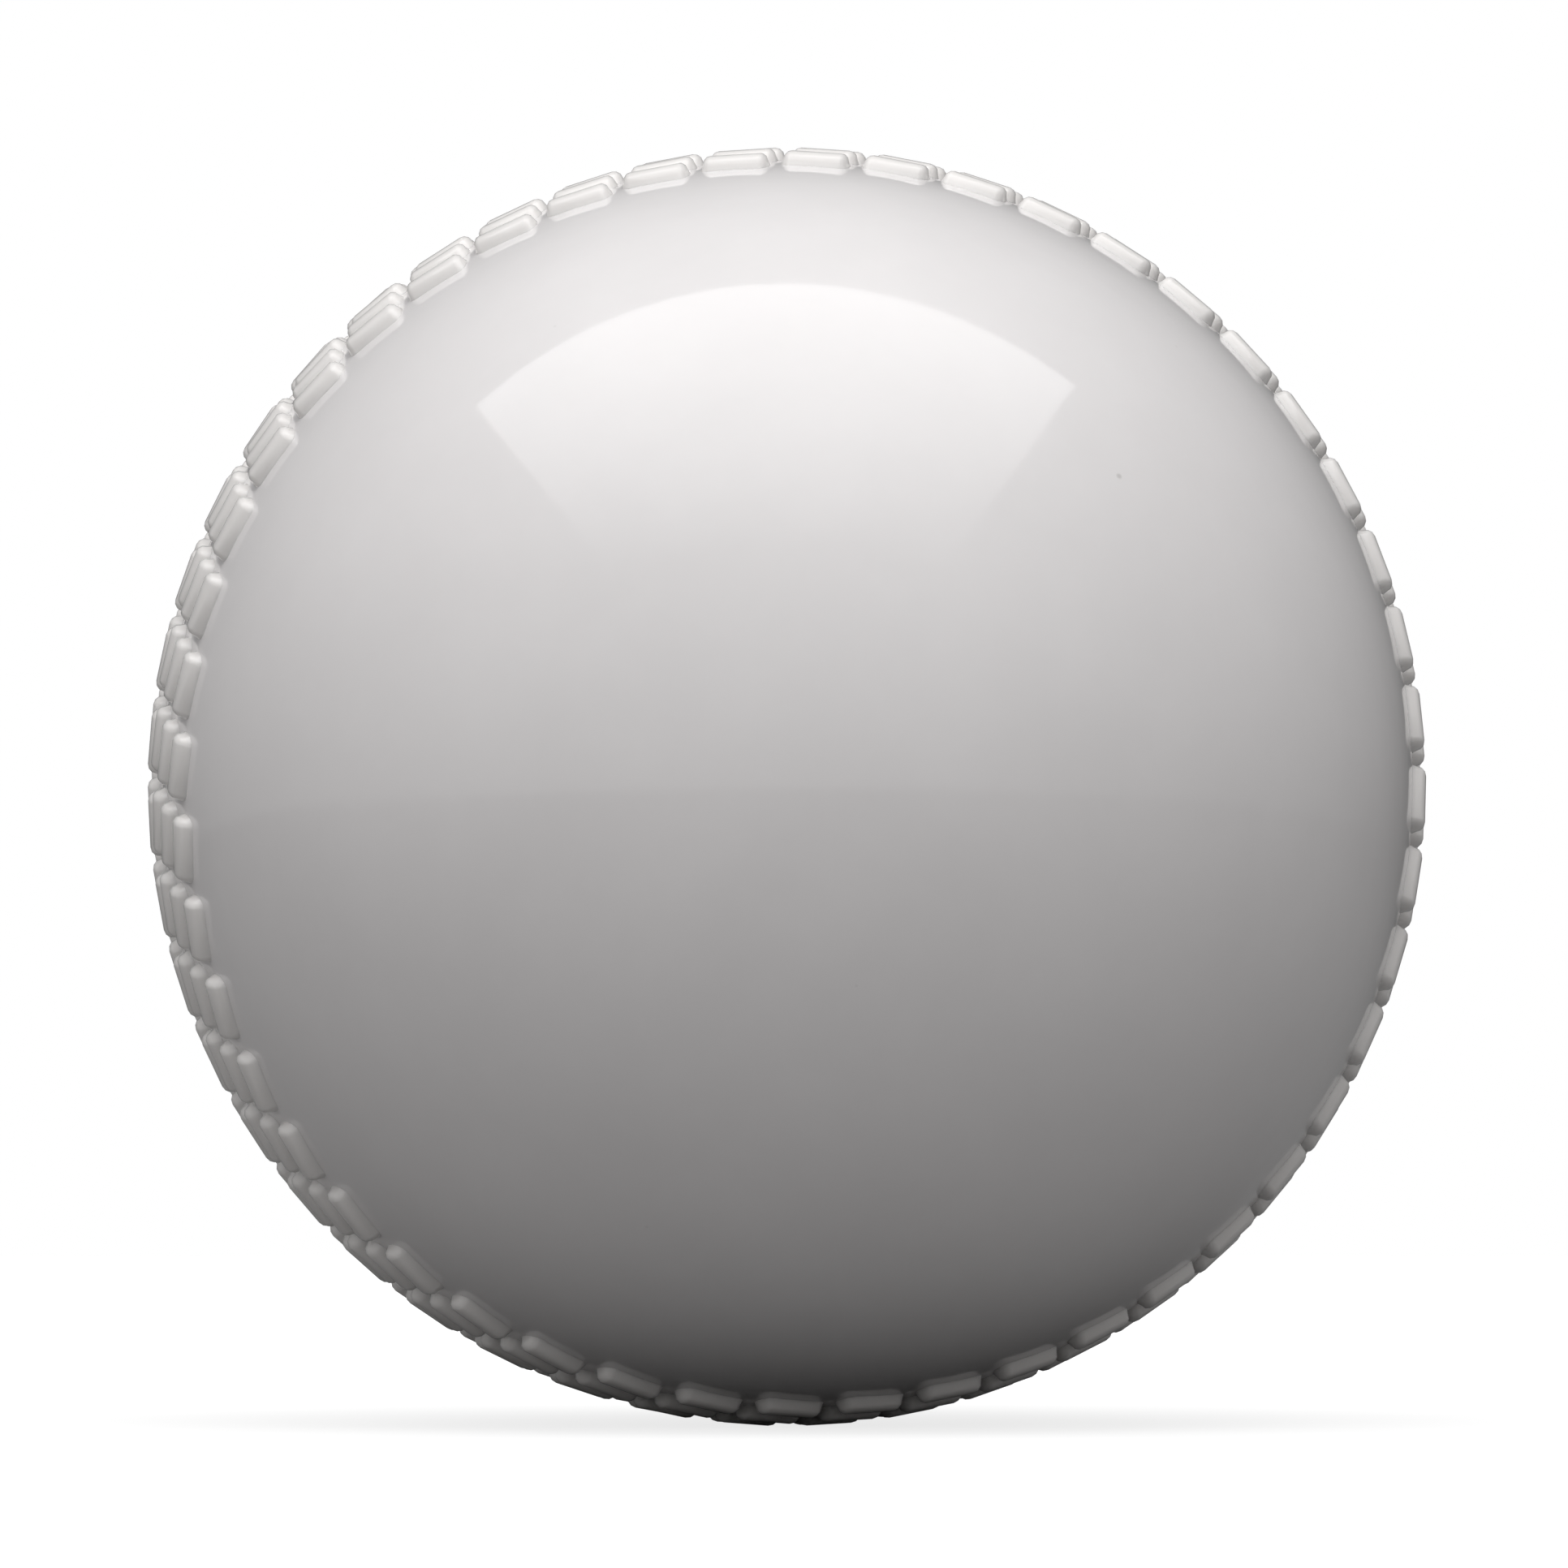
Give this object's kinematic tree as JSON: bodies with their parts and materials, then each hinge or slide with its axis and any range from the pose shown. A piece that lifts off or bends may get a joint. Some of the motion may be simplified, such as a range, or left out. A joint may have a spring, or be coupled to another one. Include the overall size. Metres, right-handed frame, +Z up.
{
  "type": "soft cricket ball",
  "caption": "Soft white ball of two glossy cups sewn together over a foam core, with raised rows of stitches forming a seam round its middle.",
  "frame": {"origin": "centre of the ball", "axes": "the seam lies in the XZ plane, -Y is the middle of the front cup and +Z is up"},
  "size_m": [0.072, 0.0706, 0.072],
  "materials": {
    "cover_vinyl": "soft white vinyl, glossy lacquered face with faint mottling",
    "seam_thread": "thick white thread, coated smooth and glossy",
    "core_foam": "open-cell polyurethane foam, matt"
  },
  "bodies": {
    "root": {"foam_core": "core_foam", "front_cover": "cover_vinyl", "rear_cover": "cover_vinyl", "closing_thread_a": "seam_thread", "closing_thread_b": "seam_thread", "front_middle_thread": "seam_thread", "front_outer_thread": "seam_thread", "rear_middle_thread": "seam_thread", "rear_outer_thread": "seam_thread"}
  },
  "joints": []
}
